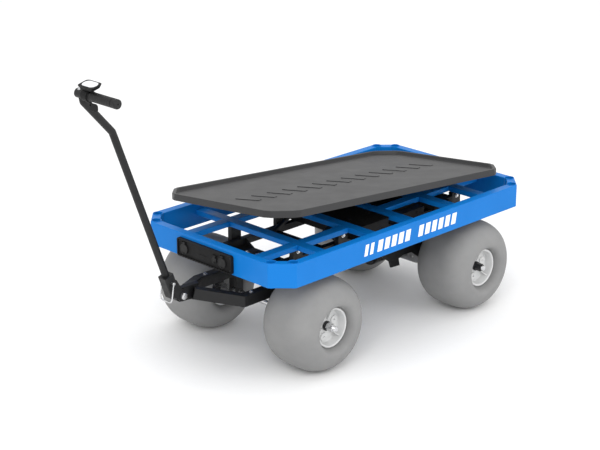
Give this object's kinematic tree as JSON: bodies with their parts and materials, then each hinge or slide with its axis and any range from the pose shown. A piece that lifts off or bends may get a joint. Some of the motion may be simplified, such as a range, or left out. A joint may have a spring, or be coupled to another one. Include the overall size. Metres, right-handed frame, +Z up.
{
  "type": "powered beach cart",
  "caption": "Powered flat beach cart: bar deck in a stake-pocket frame, lift-up tray, balloon wheels, steered tongue and pull handle with throttle.",
  "frame": {"origin": "on the ground, under the middle of the cart's overall box, handle included", "axes": "+Z up, -Y towards the pull handle at the front, +X to the side that the handgrip points to"},
  "size_m": [0.7848, 1.8378, 1.1221],
  "materials": {
    "frame_blue": "satin powder coat",
    "chassis_black": "satin powder coat",
    "gearbox_alloy": "dark cast",
    "case_black": "fine moulded texture",
    "cap_rubber": "matt",
    "contact_alloy": "plain",
    "tray_plastic": "grained",
    "steel_bright": "bright zinc",
    "nut_black": "black oxide",
    "display_glass": "clear",
    "tyre_grey": "soft matt",
    "rim_grey": "satin moulded"
  },
  "bodies": {
    "chassis": {"perimeter_frame": "frame_blue", "stake_sockets": "frame_blue", "cross_bars": "frame_blue", "long_bars": "frame_blue", "chassis_rails": "chassis_black", "deck_legs": "chassis_black", "chassis_beams": "chassis_black", "gussets": "chassis_black", "deck_struts": "chassis_black", "side_plates": "chassis_black", "axle_tubes": "chassis_black", "gearbox_housing": "gearbox_alloy", "motor_can": "gearbox_alloy", "battery_case": "case_black", "battery_lid": "case_black", "battery_cells": "contact_alloy", "controller_case": "case_black", "charger_case": "case_black", "panel_plate": "case_black", "port_sockets": "contact_alloy", "tray_hinge_base": "chassis_black", "tray_hinge_pin": "steel_bright", "turntable_upper": "chassis_black", "kingpin": "steel_bright"},
    "front_steer": {"turntable_lower": "chassis_black", "steer_beam": "chassis_black", "drop_brackets": "chassis_black", "front_axle": "steel_bright", "tongue_arms": "chassis_black", "head_block": "chassis_black", "pivot_bolt": "steel_bright", "nut_front_left": "steel_bright", "nut_front_right": "steel_bright"},
    "handle": {"handle_socket": "chassis_black", "handle_tube": "chassis_black", "lynch_pin": "steel_bright", "grip": "cap_rubber", "grip_cap": "case_black", "throttle_housing": "case_black", "display_housing": "case_black", "display_glass": "display_glass"},
    "throttle": {"throttle_lever": "case_black"},
    "wheel_front_left": {"tyre_front_left": "tyre_grey", "rim_front_left": "rim_grey"},
    "wheel_front_right": {"tyre_front_right": "tyre_grey", "rim_front_right": "rim_grey"},
    "wheel_rear_left": {"tyre_rear_left": "tyre_grey", "rim_rear_left": "rim_grey", "shaft_rear_left": "steel_bright", "nut_rear_left": "nut_black"},
    "wheel_rear_right": {"tyre_rear_right": "tyre_grey", "rim_rear_right": "rim_grey", "shaft_rear_right": "steel_bright", "nut_rear_right": "nut_black"},
    "tray": {"tray_shell": "tray_plastic", "tray_ribs": "tray_plastic", "tray_knuckle": "chassis_black"},
    "cap_left": {"port_cap_left": "cap_rubber"},
    "cap_middle": {"port_cap_middle": "cap_rubber"},
    "cap_right": {"port_cap_right": "cap_rubber"}
  },
  "joints": [
    {"name": "steering", "type": "hinge", "parent": "chassis", "child": "front_steer", "pos_m": [0, -0.14507, 0.259], "axis": [0, 0, 1], "range_deg": [-25, 25]},
    {"name": "handle_tilt", "type": "hinge", "parent": "front_steer", "child": "handle", "pos_m": [0, -0.52007, 0.3], "axis": [1, 0, 0], "range_deg": [-25, 60]},
    {"name": "throttle_press", "type": "hinge", "parent": "handle", "child": "throttle", "pos_m": [0.048, -0.89407, 1.078], "axis": [1, 0, 0], "range_deg": [0, 22], "stiffness_Nm_per_rad": 0.35, "springref_deg": -20.05},
    {"name": "tray_lift", "type": "hinge", "parent": "chassis", "child": "tray", "pos_m": [-0.2645, 0.82393, 0.417], "axis": [-0.6266, -0.7793, 0], "range_deg": [-8, 20]},
    {"name": "roll_front_left", "type": "hinge", "parent": "front_steer", "child": "wheel_front_left", "pos_m": [0.2715, -0.14507, 0.1715], "axis": [1, 0, 0], "continuous": true},
    {"name": "roll_rear_left", "type": "hinge", "parent": "chassis", "child": "wheel_rear_left", "pos_m": [0.2715, 0.65893, 0.1715], "axis": [1, 0, 0], "continuous": true},
    {"name": "roll_front_right", "type": "hinge", "parent": "front_steer", "child": "wheel_front_right", "pos_m": [-0.2715, -0.14507, 0.1715], "axis": [1, 0, 0], "continuous": true},
    {"name": "roll_rear_right", "type": "hinge", "parent": "chassis", "child": "wheel_rear_right", "pos_m": [-0.2715, 0.65893, 0.1715], "axis": [1, 0, 0], "continuous": true},
    {"name": "cap_flip_left", "type": "hinge", "parent": "chassis", "child": "cap_left", "pos_m": [0.084, -0.39717, 0.425], "axis": [-1, 0, 0], "range_deg": [0, 100]},
    {"name": "cap_flip_middle", "type": "hinge", "parent": "chassis", "child": "cap_middle", "pos_m": [0.046, -0.39717, 0.417], "axis": [-1, 0, 0], "range_deg": [0, 100]},
    {"name": "cap_flip_right", "type": "hinge", "parent": "chassis", "child": "cap_right", "pos_m": [-0.11, -0.39717, 0.425], "axis": [-1, 0, 0], "range_deg": [0, 100]}
  ]
}
